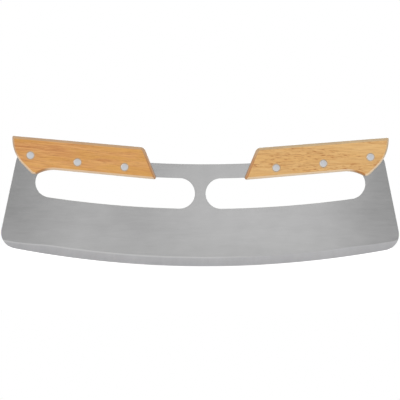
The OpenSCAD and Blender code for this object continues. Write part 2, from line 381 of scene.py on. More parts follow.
def makeBlade():
    shape = bladeShape
    centres = bladeCentres(shape)
    offsets = shape["shoulder"] * np.linspace(0.5, -0.5, shape["shoulderLines"])
    loops, stops = bladeLoops(shape, centres, offsets)
    points, faces, rims = bladeWalls(shape, centres, loops)
    # The front face is filled inside the rims, with the shoulder's lines as well. frontIds and backIds say
    # which vertex of the mesh each of the filled points is.
    fill, frontIds, backIds = (list(part) for part in zip(*rims))
    edges, filled = [], 0
    for ring in fill:
        order = np.arange(len(ring))
        edges.append(np.stack([filled + order, filled + (order + 1) % len(ring)], axis=1))
        filled += len(ring)
    count = sum(len(wall) for wall in points)
    outer = fill[0]
    for offset, stop in zip(offsets, stops):
        line = shoulderLine(shape, centres["rocker"], (outer[-stop], outer[stop]), offset)
        order = np.arange(len(line))
        path = np.concatenate([[len(outer) - stop], filled + order, [stop]])
        edges.append(np.stack([path[:-1], path[1:]], axis=1))
        fill.append(line)
        half = halfThickness(shape, line - centres["rocker"])
        for ids, sign in ((frontIds, -1), (backIds, 1)):
            ids.append(count + order)
            points.append(np.stack([line[:, 0], sign * half, line[:, 1]], axis=-1))
            count += len(line)
        filled += len(line)
    fill = np.concatenate(fill)
    allTriangles, nearest = 0, 1e-7
    result = delaunay_2d_cdt([Vector(p) for p in fill.tolist()], np.concatenate(edges).tolist(), [],
                             allTriangles, nearest)
    if len(result[0]) != len(fill):
        raise ValueError("the blade's outlines cross or touch")
    triangles = np.array(result[2])
    triangles = triangles[withinRings(fill[triangles].mean(axis=1), [rim[0] for rim in rims])]
    faces += np.concatenate(frontIds)[triangles].tolist()
    faces += np.concatenate(backIds)[triangles[:, ::-1]].tolist()
    blade = addMesh("groundBlade", np.concatenate(points), faces)
    smoothPiece(blade)
    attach(blade, "root")
    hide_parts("blade")
    return blade, centres


blade, bladeCentre = makeBlade()
print("blade made:", len(blade.data.polygons), "faces")


# Rivets. Each is turned about the line along Y through its place.

rivetShape = {
    "headRadius": 3.3,
    "headThickness": 2,
    "rim": 0.3,             # radius of the head's rounded rim
    "crown": 0.12,          # how much lower the rim lies than the head's middle
    "tubeRadius": 1.8,
    "shankRadius": 1.2,
    "drive": 0.01,          # gap round the solid shank
    "boreDepth": 7.8,       # depth of the tube's bore
    "tip": 0.25,            # bevel on the ends of the shanks
    "steps": 72,
    "rimSteps": 6,
    "crownSteps": 8,
}


# A closed surface from a profile of (radius, depth) that begins and ends on the axis. Each row's ring is
# centre + radius * (cos a, sin a). Its map holds the turn, and the way along the profile in millimetres,
# counted from the profile's other end where backwards is set.
def turnedSolid(name, profile, centre, steps, backwards=False):
    profile = np.asarray(profile, dtype=float)
    angle = np.linspace(0, 2 * np.pi, steps, endpoint=False)
    rings = profile[1:-1]
    ringPoints = np.stack([
        centre[0] + rings[:, :1] * np.cos(angle),
        np.repeat(rings[:, 1:], steps, axis=1),
        centre[2] + rings[:, :1] * np.sin(angle),
    ], axis=-1)
    poles = np.array([[centre[0], profile[0, 1], centre[2]], [centre[0], profile[-1, 1], centre[2]]])
    points = np.concatenate([ringPoints.reshape(-1, 3), poles])
    rows, top, bottom = len(rings), len(points) - 2, len(points) - 1
    along = np.concatenate([[0], np.cumsum(np.linalg.norm(np.diff(profile, axis=0), axis=1))])
    if backwards:
        along = along[-1] - along
    column = np.arange(steps)
    ahead = (column + 1) % steps
    quads = bandFaces(rows, steps)
    row, turn = np.meshgrid(np.arange(rows - 1), column, indexing="ij")
    row, turn = row.ravel(), turn.ravel()
    quadTurn = np.stack([turn, turn, turn + 1, turn + 1], axis=1) / steps
    quadAlong = along[1:-1][np.stack([row, row + 1, row + 1, row], axis=1)]
    firstFan = np.stack([column, ahead, np.full(steps, top)], axis=1)
    lastRow = (rows - 1) * steps
    lastFan = np.stack([lastRow + ahead, lastRow + column, np.full(steps, bottom)], axis=1)
    fanTurn = np.stack([column, column + 1, column + 0.5], axis=1) / steps
    firstAlong = np.tile(along[[1, 1, 0]], (steps, 1))
    lastAlong = np.tile(along[[-2, -2, -1]], (steps, 1))
    parts = ((quadTurn, quadAlong), (fanTurn, firstAlong), (fanTurn[:, [1, 0, 2]], lastAlong))
    uv = np.concatenate([np.stack(part, axis=-1).reshape(-1, 2) for part in parts])
    return addMesh(name, points, quads.tolist() + firstFan.tolist() + lastFan.tolist(), uv)


# The head's face from its middle to its side: a low crown r^2 / R^2 of the given fall, then a quarter
# circle for the rim. Depths count from the face of the wood into it.
def headProfile(shape):
    flat = shape["headRadius"] - shape["rim"]
    r = np.linspace(0, flat, shape["crownSteps"] + 1)
    crown = np.stack([r, shape["crown"] * (r / flat) ** 2], axis=1)
    rim = (flat, shape["crown"]) + shape["rim"] * np.stack(quarterTurn(shape["rimSteps"]), axis=1)[1:]
    return np.concatenate([crown, rim, [[shape["headRadius"], shape["headThickness"]]]])


# The head and its shank: solid with a bevelled tip, or a tube whose bore ends at its depth
def rivetProfile(shape, half, face, end):
    depth = abs(end - face)
    tip = shape["tip"]
    if half == "male":
        r = shape["shankRadius"]
        shank = [[r, shape["headThickness"]], [r, depth - tip], [r - tip, depth], [0, depth]]
    else:
        r = shape["tubeRadius"]
        bore = shape["shankRadius"] + shape["drive"]
        shank = [[r, shape["headThickness"]], [r, depth - tip], [r - tip, depth], [bore, depth],
                 [bore, depth - shape["boreDepth"]], [0, depth - shape["boreDepth"]]]
    profile = np.concatenate([headProfile(shape), shank])
    profile[:, 1] = face + np.sign(end - face) * profile[:, 1]
    return profile


def makeRivets():
    made = []
    for side in sides:
        for spot in spots:
            for half in ("male", "female"):
                node = f"{side}_{spot}_rivet_{half}"
                low, high = (np.array(corner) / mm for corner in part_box(node))
                face, end = (low[1], high[1]) if half == "male" else (high[1], low[1])
                profile = rivetProfile(rivetShape, half, face, end)
                name = f"{side}{spot.title()}Rivet{half.title()}"
                backwards = half == "female"
                if backwards:
                    profile = profile[::-1]  # from the front to the back, as on the other half
                rivet = turnedSolid(name, profile, middleOf(node), rivetShape["steps"], backwards)
                smoothPiece(rivet)
                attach(rivet, "root")
                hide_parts(node)
                made.append(rivet)
    return made


rivets = makeRivets()
print("rivets made:", len(rivets))


# Handles

handleShape = {
    "inner": 38.6,          # the lower inner corner before it is rounded, from the knife's middle
    "lip": 2,               # wood over the upper edge of the finger slot
    "height": 27.5,         # of the grip at its inner end
    "taper": 0.4,
    "innerLean": 22.2,
    "pointReach": 1.2,      # the point at the outer end, past the slot's end
    "pointDrop": 6.8,
    "pointRun": 12,
    "outerCut": 45,
    "rounds": {"start": 1.8, "hollow": 29, "point": 5, "lowOuter": 34, "tip": 1.2, "topInner": 5},
    "edgeDepth": 1.6,       # of the rounded edges, from the faces
    "edgeWidths": {"start": 2.3, "hollow": 2.3, "point": 2, "lowOuter": 2, "tip": 2.7, "topInner": 3},
    "edgeSteps": 12,
    "cornerSteps": 18,
    "leastRound": 0.3,      # smallest rounding of a corner
    "roundedShare": 0.97,   # how much of a side its two roundings may take
    "kerfGap": 0.05,        # on each side of the plate
    "kerfTop": 0.4,         # over the back of the plate
    "kerfReach": 12,        # of its cutter, past the lower inner corner
    "seatGap": 0.04,        # round a rivet's head
    "seatLip": 0.3,         # rounding of the seat's mouth
    "lipSteps": 4,
    "boreGap": 0.05,
    "over": 1,              # what a cutter reaches past the wood
}


# The flat cross product x1 z2 - z1 x2 of two vectors or two arrays of them
def cross(u, v):
    return u[..., 0] * v[..., 1] - u[..., 1] * v[..., 0]


# Where the line from p along u meets the line from q along v
def crossing(p, u, q, v):
    return p + u * (cross(q - p, v) / cross(u, v))


# Vectors turned by an angle in radians: (x cos a - z sin a, x sin a + z cos a)
def turnedBy(vector, angle):
    c, s = np.cos(angle), np.sin(angle)
    x, z = vector[..., 0], vector[..., 1]
    return np.stack([x * c - z * s, x * s + z * c], axis=-1)


# The right handle's sharp corners in order round its outline. The low side is the chord of an arc that lies
# the lip's width inside the finger slot, and the top side leans towards it by the taper.
def handleCorners(shape, blade, centres, innerX, outerX):
    spine = centres["spine"]
    slotTop = blade["spine"] + blade["strip"]
    slotEnd = halfLength - blade["cheek"]
    pointX = slotEnd + shape["pointReach"]
    hollowX = pointX - shape["pointRun"]
    pointSlope = math.degrees(math.atan2(shape["pointDrop"], shape["pointRun"]))
    start = lowOn(spine, slotTop + shape["lip"], innerX)
    hollowRun = shape["rounds"]["hollow"] * math.tan(math.radians(pointSlope / 2))
    end = lowOn(spine, slotTop + shape["lip"], hollowX - hollowRun)
    along = (end - start) / np.linalg.norm(end - start)
    hollow = start + along * ((hollowX - start[0]) / along[0])
    point = start + along * ((pointX - start[0]) / along[0]) - np.array([0, shape["pointDrop"]])
    topStart = start + turnedBy(along, math.pi / 2) * shape["height"]
    topAlong = turnedBy(along, -math.radians(shape["taper"]))
    outer, upward = np.array([outerX, 0]), np.array([0, 1])
    corners = np.array([
        start,
        hollow,
        point,
        crossing(point, heading(shape["outerCut"]), outer, upward),
        crossing(topStart, topAlong, outer, upward),
        crossing(topStart, topAlong, start, heading(90 - shape["innerLean"])),
    ])
    return corners, headingOf(along)


# One ring of the outline. Its sides are moved inwards by share times their edge width, and each corner is
# an arc that touches both sides: a rounding that bulges shrinks as the ring moves in, a hollow one grows.
def handleRing(shape, corners, share, steps):
    rounds = np.array(list(shape["rounds"].values()), dtype=float)
    widths = np.array(list(shape["edgeWidths"].values()))
    leaving = np.roll(corners, -1, axis=0) - corners
    leaving = leaving / np.linalg.norm(leaving, axis=1, keepdims=True)
    inward = np.stack([-leaving[:, 1], leaving[:, 0]], axis=1)
    starts = corners + inward * widths[:, None] * share
    arriving = np.roll(leaving, 1, axis=0)
    lines = np.roll(starts, 1, axis=0)
    bend = cross(arriving, leaving)
    turn = np.arctan2(bend, (arriving * leaving).sum(axis=1))
    along = cross(starts - lines, leaving) / bend
    moved = lines + arriving * along[:, None]
    width = (widths + np.roll(widths, 1)) / 2
    r = np.maximum(shape["leastRound"], rounds - np.sign(turn) * width * share)
    reach = r * np.tan(np.abs(turn) / 2)
    length = np.linalg.norm(np.roll(moved, -1, axis=0) - moved, axis=1)
    room = np.minimum(1, shape["roundedShare"] * length / (reach + np.roll(reach, -1)))
    r = r * np.minimum(room, np.roll(room, 1)) * np.sign(turn)
    first = moved - arriving * (r * np.tan(turn / 2))[:, None]
    arm = np.stack([arriving[:, 1], -arriving[:, 0]], axis=1) * r[:, None]
    angle = turn[:, None] * np.linspace(0, 1, steps + 1)
    return (turnedBy(arm[:, None], angle) + (first - arm)[:, None]).reshape(-1, 2)


# Rings from the front round to the back. The rounded edge is a quarter of an ellipse: at the angle a the
# ring has moved in by 1 - sin a of the edge width and lies edgeDepth * (1 - cos a) behind the face.
def handleRings(shape, corners, halfDepth, flip):
    sines, falls = quarterTurn(shape["edgeSteps"])
    depths = halfDepth - shape["edgeDepth"] * falls
    rings = np.stack([handleRing(shape, corners, share, shape["cornerSteps"]) for share in 1 - sines])
    if flip:
        rings = flipped(rings)
    front = np.concatenate([rings, -depths[:, None, None] * np.ones_like(rings[..., :1])], axis=-1)
    back = front[::-1] * (1, 1, -1)
    return np.concatenate([front, back])[..., [0, 2, 1]]


# The saw cut for the plate: a slab under an arc just over the blade's back
def kerfCutter(shape, blade, centres, innerX, outerX, flip):
    centre = centres["spine"]
    r = blade["spine"] - shape["kerfTop"]
    ends = [headingOf(lowOn(centre, r, x) - centre) for x in (outerX, innerX)]
    top = arc(centre, r, ends[0], ends[1], int((outerX - innerX) / blade["arcStep"]))[0]
    low = centre[1] - blade["spine"] - blade["slotWidth"]
    outline = np.concatenate([[[innerX, low], [outerX, low]], top])
    if flip:
        outline = flipped(outline)
    half = halfPlate + shape["kerfGap"]
    flat = np.ones(len(outline))
    rings = np.stack([np.stack([outline[:, 0], y * flat, outline[:, 1]], axis=1) for y in (-half, half)])
    return ringSolid("kerfCutter", rings)


# The stepped hole for a rivet, with a small rounding at the mouth of each seat
def seatCutter(shape, rivet, centre, halfDepth):
    seat = rivet["headRadius"] + shape["seatGap"]
    bore = rivet["tubeRadius"] + shape["boreGap"]
    lip = shape["seatLip"]
    sines, falls = quarterTurn(shape["lipSteps"])
    mouth = np.stack([seat + lip * (1 - sines), -halfDepth + lip * falls], axis=1)
    outside = halfDepth + shape["over"]
    floor = halfDepth - rivet["headThickness"]
    front = np.concatenate([[[0, -outside], [seat + lip, -outside]], mouth, [[seat, -floor], [bore, -floor]]])
    profile = np.concatenate([front, front[::-1] * (1, -1)])
    return turnedSolid("seatCutter", profile, centre, rivet["steps"])


# Takes the cutters out of the piece, once and for all, and removes them
def cutWith(piece, cutters):
    for cutter in cutters:
        cut = piece.modifiers.new("cut", "BOOLEAN")
        cut.operation = "DIFFERENCE"
        cut.solver = "EXACT"
        cut.object = cutter
    graph = bpy.context.evaluated_depsgraph_get()
    mesh = bpy.data.meshes.new_from_object(piece.evaluated_get(graph))
    piece.modifiers.clear()
    old = piece.data
    piece.data = mesh
    mesh.name = piece.name
    bpy.data.meshes.remove(old)
    for cutter in cutters:
        bpy.data.meshes.remove(cutter.data)


def makeHandle(side):
    shape = handleShape
    low, high = (np.array(corner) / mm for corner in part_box(f"{side}_handle"))
    halfDepth = high[1]
    outerX = max(-low[0], high[0])
    innerX = shape["inner"]
    corners, slope = handleCorners(shape, bladeShape, bladeCentre, innerX, outerX)
    flip = side == "left"
    handle = ringSolid(f"{side}Grip", handleRings(shape, corners, halfDepth, flip))
    cutters = [kerfCutter(shape, bladeShape, bladeCentre, innerX - shape["kerfReach"],
                          halfLength + shape["over"], flip)]
    for spot in spots:
        cutters.append(seatCutter(shape, rivetShape, middleOf(f"{side}_{spot}_rivet_male"), halfDepth))
    cutWith(handle, cutters)
    smoothPiece(handle)
    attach(handle, "root")
    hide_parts(f"{side}_handle")
    return handle, slope, (corners[0][1], corners[-1][1])


grips = {side: makeHandle(side) for side in sides}
print("handles made:", [len(grip[0].data.polygons) for grip in grips.values()])


# Node tools

groups = {}  # shader groups by name


# From picture values of 0 to 255 to linear light, by the sRGB curve
def srgb(red, green, blue):
    values = np.array([red, green, blue]) / 255
    linear = np.where(values <= 0.04045, values / 12.92, ((values + 0.055) / 1.055) ** 2.4)
    return (*[float(v) for v in linear], 1.0)


# Adds a shader node. An input given as another node's output is linked, and any other is set.
def addNode(tree, kind, inputs=None, **settings):
    node = tree.nodes.new("ShaderNode" + kind)
    for key, value in settings.items():
        setattr(node, key, value)
    for key, value in (inputs or {}).items():
        if isinstance(value, bpy.types.NodeSocket):
            tree.links.new(value, node.inputs[key])
        else:
            node.inputs[key].default_value = value
    return node


def maths(tree, operation, first, second=0.0):
    return addNode(tree, "Math", {0: first, 1: second}, operation=operation).outputs[0]


def plus(tree, first, second):
    return maths(tree, "ADD", first, second)


def minus(tree, first, second):
    return maths(tree, "SUBTRACT", first, second)


def times(tree, first, second):
    return maths(tree, "MULTIPLY", first, second)


# A length and a dot product are numbers, and the other results are vectors
def vectors(tree, operation, first, second=(0.0, 0.0, 0.0)):
    outputs = addNode(tree, "VectorMath", {0: first, 1: second}, operation=operation).outputs
    return outputs["Value" if operation in ("LENGTH", "DOT_PRODUCT") else "Vector"]


def stretched(tree, vector, factors):
    return vectors(tree, "MULTIPLY", vector, factors)


def axes(tree, vector):
    return addNode(tree, "SeparateXYZ", {0: vector}).outputs


def combined(tree, *values):
    return addNode(tree, "CombineXYZ", dict(enumerate(values))).outputs[0]


# Noise on stretched coordinates: the smaller the factor, the longer the marks along that axis
def noise(tree, vector, factors, detail, roughness=0.5):
    place = stretched(tree, vector, factors)
    inputs = {"Vector": place, "Scale": 1.0, "Detail": detail, "Roughness": roughness}
    return addNode(tree, "TexNoise", inputs).outputs[0]


# Goes smoothly from one result to the other while the value goes from start to end, upwards or downwards
def between(tree, value, start, end, atStart=0.0, atEnd=1.0):
    inputs = {"Value": value, "From Min": start, "From Max": end, "To Min": atStart, "To Max": atEnd}
    return addNode(tree, "MapRange", inputs, interpolation_type="SMOOTHSTEP").outputs[0]


def mixedValue(tree, factor, first, second):
    return addNode(tree, "Mix", {0: factor, 2: first, 3: second}).outputs[0]


def mixed(tree, factor, first, second, blend="MIX"):
    node = addNode(tree, "Mix", {0: factor, 6: first, 7: second}, data_type="RGBA", blend_type=blend)
    return node.outputs[2]


def shaded(tree, colour, shade):
    grey = addNode(tree, "CombineColor", {0: shade, 1: shade, 2: shade}).outputs[0]
    return mixed(tree, 1.0, colour, grey, "MULTIPLY")


# The place on the piece in millimetres, and the surface's normal there
def objectSpace(tree):
    texture = addNode(tree, "TexCoord").outputs
    return stretched(tree, texture["Object"], (1 / mm, 1 / mm, 1 / mm)), texture["Normal"]


def connect(tree, sockets, values):
    for name, value in values.items():
        tree.links.new(value, sockets[name])


def newGroup(name, inputs, outputs):
    group = bpy.data.node_groups.new(name, "ShaderNodeTree")
    for label, value in inputs.items():
        kind = {float: "Float", tuple: "Color", Vector: "Vector"}[type(value)]
        socket = group.interface.new_socket(name=label, in_out="INPUT", socket_type=f"NodeSocket{kind}")
        socket.default_value = value
    for label, kind in outputs.items():
        group.interface.new_socket(name=label, in_out="OUTPUT", socket_type=f"NodeSocket{kind}")
    groups[name] = group
    return group, group.nodes.new("NodeGroupInput").outputs, group.nodes.new("NodeGroupOutput").inputs


def useGroup(tree, name, inputs):
    return addNode(tree, "Group", inputs, node_tree=groups[name]).outputs


def newMaterial(name, shaderValues):
    material = bpy.data.materials.new(name)
    material.use_nodes = True
    tree = material.node_tree
    shader = tree.nodes["Principled BSDF"]
    for key, value in shaderValues.items():
        shader.inputs[key].default_value = value
    return material, tree, shader


# Links what varies over the surface to the shader. The bump is a strength and a depth in millimetres.
def linkSurface(tree, shader, colour, roughness, height, bump):
    raised = addNode(tree, "Bump", {"Strength": bump[0], "Distance": bump[1] * mm, "Height": height})
    connect(tree, shader.inputs, {"Base Color": colour, "Roughness": roughness, "Normal": raised.outputs[0]})


# Wood

woodPattern = {
    # Each noise's factors along the grain and across it, its detail, and its roughness where not 0.5
    "layers": {
        "sway": ((0.011, 0.045, 0.045), 2.0),
        "streak": ((0.03, 0.5, 0.5), 3.0, 0.6),
        "fibre": ((0.06, 1.6, 1.6), 3.0, 0.6),
        "fine": ((0.08, 5.0, 5.0), 2.0, 0.6),
        "tone": ((0.012, 0.07, 0.07), 1.0),
        "patch": ((0.025, 0.14, 0.2), 2.0),
        "fleck": ((0.15, 1.1, 1.1), 2.0, 0.6),
        "density": ((0.012, 0.11, 0.14), 1.0),
        "pore": ((0.3, 4.2, 4.2), 1.0),
    },
    # From which level to which a noise makes its mark, and the mark's values there where not 0 and 1
    "marks": {
        "patch": (0.42, 0.66),
        "fleck": (0.5, 0.67),
        "density": (0.38, 0.6),
        "pore": (0.62, 0.74),
        "fine": (0.3, 0.7, 0.94, 1.05),
    },
    "sway": 9.0,                 # how far the rings sway
    "ringDarkens": (0.1, 0.85),  # shares of a ring's width
    "ringEnds": (1.0, 0.86),
    "ringChange": 0.6,           # how fast the rings' strength changes from one to the next
    "ringLevels": (0.3, 0.65, 0.35, 1.0),
    "ground": 0.3,               # share of the deep colour where nothing else darkens
    "poreShade": 0.22,
    "heights": {"fine": 0.6, "fleck": 0.5, "ring": 0.3},
    "poreShine": 0.5,
}


# Where the painted light and shade on the rounded edges begin and end. The first three are shares of their
# depth, and the others are how far the surface looks up or outwards.
edgeLightMarks = {
    "roundBegins": (0.0, 0.03),
    "roundEnds": (2.2, 1.1),
    "rim": (0.12, 0.4),
    "low": (-0.3, -0.6),
    "inner": (-0.1, -0.4),
}


# Masks for the painted light and shade on the rounded edges. Round is 1 on the rounding and 0 on the flat
# faces and deep on the sides, Rim is 1 on its outer half. Low and Inner say where it looks down, and where
# it looks towards the knife's middle.
def makeEdgeLightGroup():
    group, given, result = newGroup("edgeLightAndShade", {
        "Place": Vector((0, 0, 0)),
        "Normal": Vector((0, 0, 1)),
        "Outwards": Vector((1, 0, 0)),
        "Face Depth": float(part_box("left_handle")[1][1] / mm),
        "Edge Depth": handleShape["edgeDepth"],
    }, {"Round": "Float", "Rim": "Float", "Low": "Float", "Inner": "Float"})
    behind = minus(group, given["Face Depth"], maths(group, "ABSOLUTE", axes(group, given["Place"])[1]))
    share = maths(group, "DIVIDE", behind, given["Edge Depth"])
    level = vectors(group, "NORMALIZE", stretched(group, given["Normal"], (1.0, 0.0, 1.0)))
    out = vectors(group, "DOT_PRODUCT", level, given["Outwards"])
    connect(group, result, {
        "Round": times(group, between(group, share, *edgeLightMarks["roundBegins"]),
                       between(group, share, *edgeLightMarks["roundEnds"])),
        "Rim": between(group, share, *edgeLightMarks["rim"]),
        "Low": between(group, axes(group, level)[2], *edgeLightMarks["low"]),
        "Inner": between(group, out, *edgeLightMarks["inner"]),
    })


# A greyer ring in the wood around each of a handle's three rivets, partly painted shade of the gap round
# the head and partly grime
def makeRivetShadeGroup():
    inputs = {name: Vector((0, 0, 0)) for name in ["Place", *spots]}
    inputs.update({"Radius": rivetShape["headRadius"], "Width": 1.2})
    group, given, result = newGroup("rivetShadeAndGrime", inputs, {"Shade And Grime": "Float"})
    nearest = 1000.0  # far past every rivet
    for spot in spots:
        ray = stretched(group, vectors(group, "SUBTRACT", given["Place"], given[spot]), (1.0, 0.0, 1.0))
        nearest = maths(group, "MINIMUM", vectors(group, "LENGTH", ray), nearest)
    end = plus(group, given["Radius"], given["Width"])
    connect(group, result, {"Shade And Grime": between(group, nearest, end, given["Radius"])})


# The names under grain are the inputs of the group below
woods = {
    "left": {
        "grain": {
            "Pith": Vector((0, -60, 190)),
            "Pale": srgb(221, 164, 96),
            "Deep": srgb(186, 116, 54),
            "Patch Colour": srgb(214, 158, 72),
            "Fleck Colour": srgb(178, 108, 50),
            "Ring Width": 3.4,
            "Ring Strength": 0.18,
            "Streak Strength": 1.8,
            "Fibre Strength": 2.9,
            "Tone Strength": 0.8,
            "Patch Strength": 0.6,
            "Fleck Strength": 0.3,
        },
        "slope": -6,                 # of the grain
        "shift": (-316, 27, 20),     # which part of the board the grip is cut from
        # Edge colours: a painted highlight where the edges look down, painted shade where they look up and on
        # the inner end. The last colour is painted shade and grime round the rivets.
        "lowEdgeHighlight": srgb(232, 208, 178),
        "highEdgeShade": srgb(182, 154, 124),
        "innerEndShade": srgb(174, 118, 62),
        "innerEndRimShade": srgb(176, 144, 116),
        "end": srgb(176, 112, 58),
        "shadeAndGrime": srgb(192, 166, 134),
    },
    "right": {
        "grain": {
            "Pith": Vector((0, -45, 150)),
            "Pale": srgb(228, 184, 120),
            "Deep": srgb(200, 148, 84),
            "Patch Colour": srgb(222, 172, 102),
            "Fleck Colour": srgb(176, 110, 48),
            "Ring Width": 3.1,
            "Ring Strength": 0.2,
            "Streak Strength": 1.95,
            "Fibre Strength": 3.3,
            "Tone Strength": 0.7,
            "Patch Strength": 0.5,
            "Fleck Strength": 0.95,
        },
        "slope": -1.5,
        "shift": (223, -51, -109),
        # Edge colours: a painted highlight where the edges look down, painted shade where they look up and on
        # the inner end. The last colour is painted shade and grime round the rivets.
        "lowEdgeHighlight": srgb(236, 214, 184),
        "highEdgeShade": srgb(188, 168, 136),
        "innerEndShade": srgb(176, 112, 46),
        "innerEndRimShade": srgb(166, 124, 82),
        "end": srgb(186, 124, 66),
        "shadeAndGrime": srgb(200, 176, 144),
    },
}


# Growth rings are shells about a far pith line that sways a little, each darkening slowly and ending
# sharply. Streaks and fibres are noise drawn out along the grain, patches are broad and differ in hue,
# and flecks and pores are the peaks of shorter noise.
def makeWoodGroup():
    inputs = {"Grain": Vector((0, 0, 0)), **woods["left"]["grain"]}
    outputs = {"Colour": "Color", "Height": "Float", "Shine": "Float"}
    group, given, result = newGroup("woodGrain", inputs, outputs)
    pattern, grain = woodPattern, given["Grain"]
    layer = {name: noise(group, grain, *values) for name, values in pattern["layers"].items()}
    mark = {name: between(group, layer[name], *levels) for name, levels in pattern["marks"].items()}
    across = stretched(group, vectors(group, "SUBTRACT", grain, given["Pith"]), (0.0, 1.0, 1.0))
    radius = plus(group, vectors(group, "LENGTH", across), times(group, layer["sway"], pattern["sway"]))
    count = maths(group, "DIVIDE", radius, given["Ring Width"])
    phase = maths(group, "FRACT", count)
    ring = times(group, between(group, phase, *pattern["ringDarkens"]),
                 between(group, phase, *pattern["ringEnds"]))
    change = noise(group, combined(group, count), (pattern["ringChange"], 0.0, 0.0), 1.0)
    ring = times(group, ring, between(group, change, *pattern["ringLevels"]))
    depth = plus(group, times(group, ring, given["Ring Strength"]), pattern["ground"])
    for name in ("streak", "fibre", "tone"):
        spread = minus(group, layer[name], 0.5)  # noise has its middle at a half
        depth = plus(group, depth, times(group, spread, given[f"{name.title()} Strength"]))
    depth = maths(group, "MAXIMUM", maths(group, "MINIMUM", depth, 1.0), 0.0)
    colour = mixed(group, depth, given["Pale"], given["Deep"])
    patch = times(group, mark["patch"], given["Patch Strength"])
    colour = mixed(group, patch, colour, given["Patch Colour"])
    flecks = times(group, mark["fleck"], mark["density"])
    colour = mixed(group, times(group, flecks, given["Fleck Strength"]), colour, given["Fleck Colour"])
    shade = minus(group, 1.0, times(group, mark["pore"], pattern["poreShade"]))
    colour = shaded(group, colour, times(group, shade, mark["fine"]))
    heights = pattern["heights"]
    low = plus(group, times(group, flecks, heights["fleck"]), times(group, ring, heights["ring"]))
    connect(group, result, {
        "Colour": colour,
        "Height": minus(group, times(group, layer["fine"], heights["fine"]), plus(group, low, mark["pore"])),
        "Shine": plus(group, times(group, mark["pore"], pattern["poreShine"]), layer["fine"]),
    })


woodFinish = {
    "shader": {"IOR": 1.5, "Coat Weight": 0.12, "Coat Roughness": 0.3, "Coat IOR": 1.5},
    "endFacing": (0.2, 0.95),     # how squarely the end grain looks out where it begins and where it's full
    "endStrength": 0.75,
    "innerShadeFade": 0.7,             # how pale the painted shade on the inner end grows towards its top
    "edgeLightStrength": (0.7, 0.88),  # of the painted light and shade on the edges, and on their rims and the inner end
    # Strength of the painted shade and grime round the rivets
    "shadeAndGrimeStrength": 0.6,
    "roughness": (0.3, 1.0, 0.38, 0.5),  # two levels of the group's shine, and the roughness at each
    "bump": (0.5, 0.06),
}


def makeWood(side, slope, innerEnd):
    values, finish = woods[side], woodFinish
    material, tree, shader = newMaterial(f"{side}Wood", finish["shader"])
    place, normal = objectSpace(tree)
    # Turned so that x runs along the grain
    turn = (0, math.radians(values["slope"]), 0)
    grain = addNode(tree, "Mapping", {"Vector": place, "Location": values["shift"], "Rotation": turn})
    wood = useGroup(tree, "woodGrain", {"Grain": grain.outputs[0], **values["grain"]})
    outwards = (sides[side] * math.cos(math.radians(slope)), 0, math.sin(math.radians(slope)))
    # Masks for the painted light and shade on the rounded edges
    edge = useGroup(tree, "edgeLightAndShade", {"Place": place, "Normal": normal, "Outwards": outwards})
    rivetPlaces = {spot: middleOf(f"{side}_{spot}_rivet_male").tolist() for spot in spots}
    # A ring of painted shade and grime round the rivets
    shadeAndGrime = useGroup(tree, "rivetShadeAndGrime", {"Place": place, **rivetPlaces})
    # End grain shows where the surface faces along the fibres, and is darker
    facing = maths(tree, "ABSOLUTE", vectors(tree, "DOT_PRODUCT", normal, outwards))
    endShare = times(tree, between(tree, facing, *finish["endFacing"]), finish["endStrength"])
    colour = mixed(tree, endShare, wood["Colour"], values["end"])
    # The painted shade on the inner end grows paler towards its top
    low, high = innerEnd
    fade = between(tree, axes(tree, place)[2], (low + high) / 2, high, 0.0, finish["innerShadeFade"])
    # The inner end's painted shade, with another on the rim of its rounding
    inner = mixed(tree, edge["Rim"], values["innerEndShade"], values["innerEndRimShade"])
    inner = mixed(tree, fade, inner, values["highEdgeShade"])
    # Painted light and shade on the other edges: a pale highlight where they look down, grey shade where they
    # look up
    edgeLightColour = mixed(tree, edge["Low"], values["highEdgeShade"], values["lowEdgeHighlight"])
    edgeLightColour = mixed(tree, edge["Inner"], edgeLightColour, inner)
    strong = maths(tree, "MAXIMUM", edge["Inner"], edge["Rim"])
    strength = between(tree, strong, 0.0, 1.0, *finish["edgeLightStrength"])
    colour = mixed(tree, times(tree, edge["Round"], strength), colour, edgeLightColour)
    colour = mixed(tree, times(tree, shadeAndGrime["Shade And Grime"], finish["shadeAndGrimeStrength"]), colour, values["shadeAndGrime"])
    roughness = between(tree, wood["Shine"], *finish["roughness"])
    linkSurface(tree, shader, colour, roughness, wood["Height"], finish["bump"])
    return material


# Steel

brushPattern = {
    # Each noise's factors along the scratches and across them, its detail, and its roughness where not 0.5
    "wide": ((0.07, 0.5, 0.5), 3.0, 0.6),
    "thin": ((0.06, 7.0, 7.0), 2.0, 0.7),
    "cloud": ((0.05, 0.09, 0.09), 2.0),
    "thinShare": 0.5,
    "cloudStrength": 0.6,
}


# Fine scratches drawn out along x, in two widths. They vary the colour, the roughness and the height.
def makeBrushGroup():
    group, given, result = newGroup("brushedMetal", {
        "Place": Vector((0, 0, 0)),
        "Colour": (0.5, 0.5, 0.5, 1.0),
        "Contrast": 0.06,
        "Roughness": 0.3,
        "Roughness Spread": 0.08,
    }, {"Colour": "Color", "Roughness": "Float", "Height": "Float"})
    pattern = brushPattern
    wide, thin, cloud = (noise(group, given["Place"], *pattern[name]) for name in ("wide", "thin", "cloud"))
    lines = minus(group, mixedValue(group, pattern["thinShare"], wide, thin), 0.5)
    shade = plus(group, lines, times(group, minus(group, cloud, 0.5), pattern["cloudStrength"]))
    shade = plus(group, times(group, shade, given["Contrast"]), 1.0)
    connect(group, result, {
        "Colour": shaded(group, given["Colour"], shade),
        "Roughness": plus(group, given["Roughness"], times(group, lines, given["Roughness Spread"])),
        "Height": lines,
    })


def brushed(tree, place, colour, roughness, contrast):
    inputs = {"Place": place, "Colour": colour, "Roughness": roughness, "Contrast": contrast}
    return useGroup(tree, "brushedMetal", inputs)


